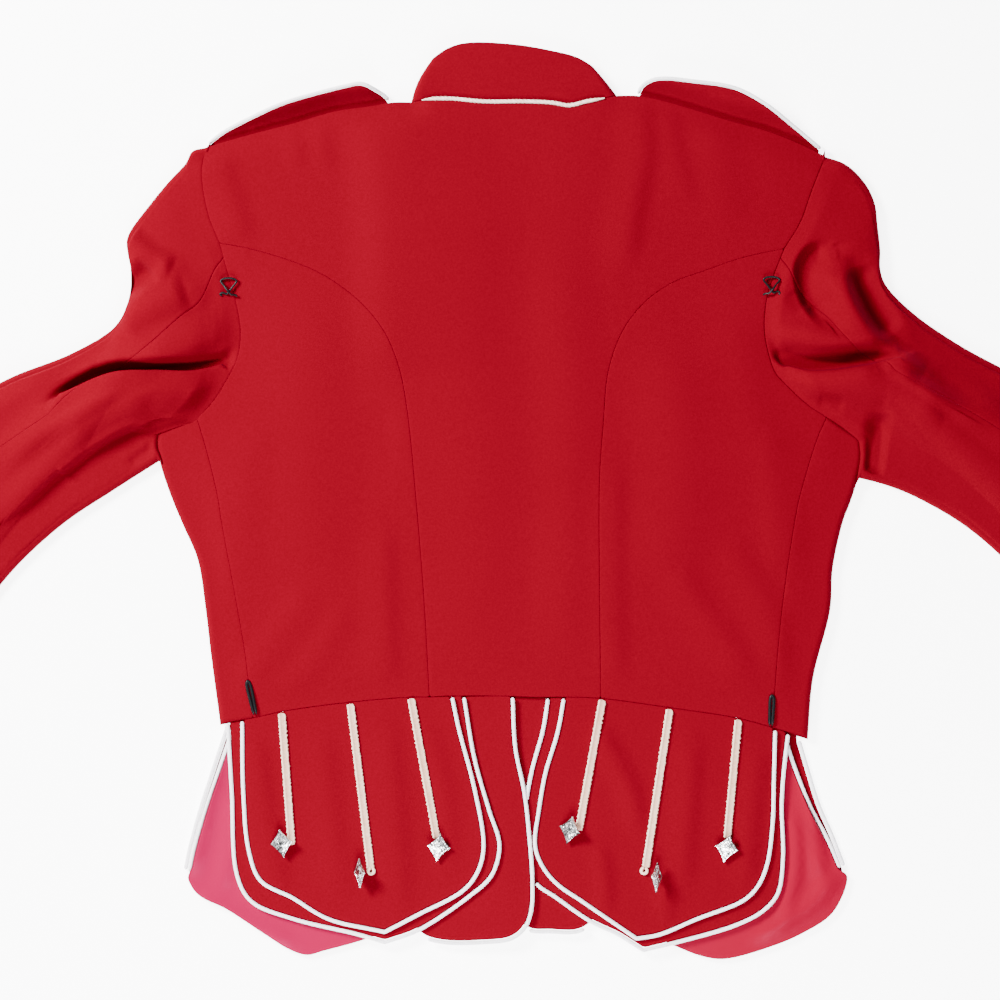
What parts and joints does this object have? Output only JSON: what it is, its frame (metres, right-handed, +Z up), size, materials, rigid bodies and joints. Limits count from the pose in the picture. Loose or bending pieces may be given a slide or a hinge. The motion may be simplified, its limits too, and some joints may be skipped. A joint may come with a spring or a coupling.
{
  "type": "pipe band doublet",
  "caption": "Scarlet wool pipe band doublet laid flat with its back up, with a stand collar, curved seams, piped skirts, cream braids and silver buttons.",
  "frame": {"origin": "bottom centre of the bounding box", "axes": "+Z up off the surface that the garment lies on, +Y from the skirts to the collar, +X to the right as seen from above, which is the wearer's right"},
  "size_m": [1.224, 0.6955, 0.0253],
  "materials": {
    "wool": "dense scarlet wool melton with a short matt nap",
    "satin": "smooth satin lining with a soft sheen",
    "piping": "white cord piping, matt",
    "braid": "cream worsted cord, matt",
    "silver": "cast silver-coloured metal, polished",
    "black_wire": "black enamelled wire, satin"
  },
  "bodies": {
    "root": {"back_centre": "wool", "back_side_left": "wool", "back_side_right": "wool", "back_skirt_lower_left": "wool", "back_skirt_lower_left_piping": "piping", "back_skirt_lower_right": "wool", "back_skirt_lower_right_piping": "piping", "back_skirt_lower_right_piping_top": "piping", "back_skirt_upper_left": "wool", "back_skirt_upper_left_piping": "piping", "back_skirt_upper_right": "wool", "back_skirt_upper_right_piping": "piping", "braid_left_inner": "braid", "braid_left_middle": "braid", "braid_left_outer": "braid", "braid_right_inner": "braid", "braid_right_middle": "braid", "braid_right_outer": "braid", "button_left_inner": "silver", "button_left_middle": "silver", "button_left_outer": "silver", "button_right_inner": "silver", "button_right_middle": "silver", "button_right_outer": "silver", "centre_flap_left": "wool", "centre_flap_left_piping": "piping", "centre_flap_right": "wool", "centre_flap_right_piping": "piping", "collar": "wool", "collar_piping": "braid", "front_left": "wool", "front_right": "wool", "front_skirt_inner_left": "wool", "front_skirt_inner_right": "wool", "front_skirt_lining_left": "satin", "front_skirt_lining_right": "satin", "front_skirt_outer_left": "wool", "front_skirt_outer_right": "wool", "front_skirt_piping_inner_left": "piping", "front_skirt_piping_inner_right": "piping", "front_skirt_piping_outer_left": "piping", "front_skirt_piping_outer_right": "piping", "shoulder_hook_left": "black_wire", "shoulder_hook_right": "black_wire", "side_panel_left": "wool", "side_panel_right": "wool", "sleeve_top_left": "wool", "sleeve_top_right": "wool", "sleeve_under_left": "wool", "sleeve_under_right": "wool", "strap_left": "wool", "strap_piping_left": "piping", "strap_piping_right": "piping", "strap_right": "wool", "waist_hook_left": "black_wire", "waist_hook_right": "black_wire"}
  },
  "joints": []
}
